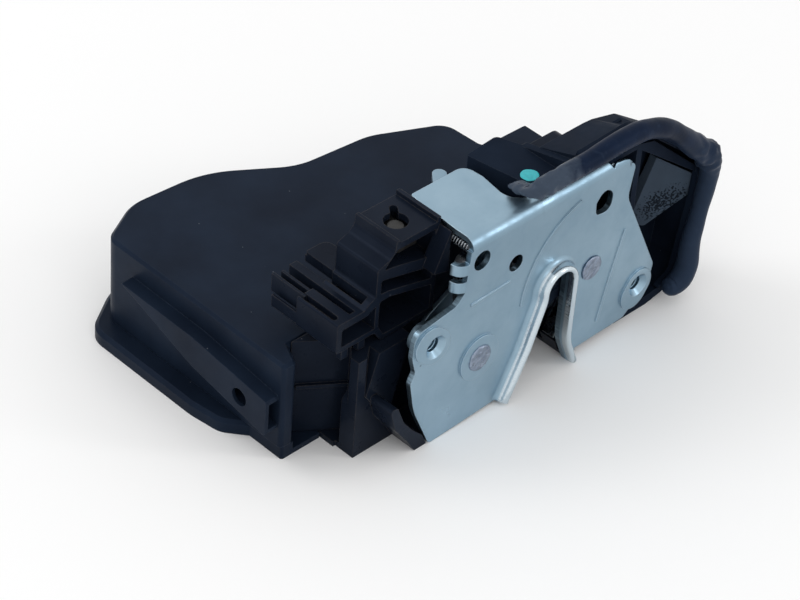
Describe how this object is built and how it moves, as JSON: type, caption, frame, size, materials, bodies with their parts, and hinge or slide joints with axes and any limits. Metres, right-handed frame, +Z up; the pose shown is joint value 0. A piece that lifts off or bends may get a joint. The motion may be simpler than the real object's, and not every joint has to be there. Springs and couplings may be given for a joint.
{
  "type": "door latch actuator",
  "caption": "Vehicle door latch with zinc plated latch plate, claw and pawl, black plastic actuator casing and foam seal.",
  "frame": {"origin": "on the flat bottom, in the outer face of the latch plate, on the middle plane of the striker throat", "axes": "+X out of the latch plate, +Y along its width, +Z up, from the flat bottom towards the foam seal's top"},
  "size_m": [0.1251, 0.1732, 0.0885],
  "materials": {
    "zinc_steel": "zinc plated",
    "bright_steel": "satin",
    "spring_steel": "drawn",
    "black_plastic": "fine moulded grain",
    "grey_plastic": "moulded",
    "foam": "closed cell foam",
    "rubber": "matte",
    "gear_plastic": "moulded",
    "motor_steel": "zinc plated",
    "brass": "stamped"
  },
  "bodies": {
    "latch_frame": {"latch_plate": "zinc_steel", "backing_plate": "zinc_steel", "claw_rivet": "bright_steel", "pawl_rivet": "bright_steel", "lever_pin": "bright_steel", "axles": "bright_steel", "case_screws": "bright_steel", "claw_spring": "spring_steel", "pawl_spring": "spring_steel", "lever_spring": "spring_steel", "latch_housing": "black_plastic", "bracket_tower": "black_plastic", "casing_cover": "black_plastic", "casing_base": "black_plastic", "seal_housing": "black_plastic", "switches": "black_plastic", "window_fin": "grey_plastic", "foam_seal": "foam", "bumper": "rubber", "grease_block": "gear_plastic", "motor": "motor_steel", "lead_frame": "brass"},
    "claw": {"claw": "bright_steel", "claw_jacket": "black_plastic"},
    "pawl": {"pawl": "bright_steel"},
    "release_lever": {"release_lever": "zinc_steel"},
    "worm_wheel": {"worm_wheel": "gear_plastic"},
    "worm": {"worm": "spring_steel"},
    "lock_lever": {"lock_lever": "gear_plastic"}
  },
  "joints": [
    {"name": "claw_turn", "type": "hinge", "parent": "latch_frame", "child": "claw", "pos_m": [-0.006, 0.0176, 0.0347], "axis": [-1, 0, 0], "range_deg": [0, 60], "stiffness_Nm_per_rad": 0.1, "springref_deg": -28.65},
    {"name": "lever_turn", "type": "hinge", "parent": "latch_frame", "child": "release_lever", "pos_m": [-0.022, -0.03085, 0.0707], "axis": [0, 0, 1], "range_deg": [0, 22.4]},
    {"name": "pawl_turn", "type": "hinge", "parent": "latch_frame", "child": "pawl", "pos_m": [-0.006, -0.0326, 0.025], "axis": [-1, 0, 0], "range_deg": [0, 10]},
    {"name": "wheel_turn", "type": "hinge", "parent": "latch_frame", "child": "worm_wheel", "pos_m": [-0.075, -0.04, 0.018], "axis": [0, 0, 1], "range_deg": [0, 100]},
    {"name": "worm_turn", "type": "hinge", "parent": "latch_frame", "child": "worm", "pos_m": [-0.094, -0.04, 0.018], "axis": [0, 1, 0], "range_deg": [0, 3000]},
    {"name": "lock_turn", "type": "hinge", "parent": "latch_frame", "child": "lock_lever", "pos_m": [-0.075, -0.015, 0.023], "axis": [0, 0, 1], "range_deg": [-25, 0]}
  ],
  "couplings": [
    {"joint": "pawl_turn", "follows": "lever_turn", "ratio": 0.4464},
    {"joint": "worm_turn", "follows": "wheel_turn", "ratio": 30},
    {"joint": "lock_turn", "follows": "wheel_turn", "ratio": -0.25}
  ]
}
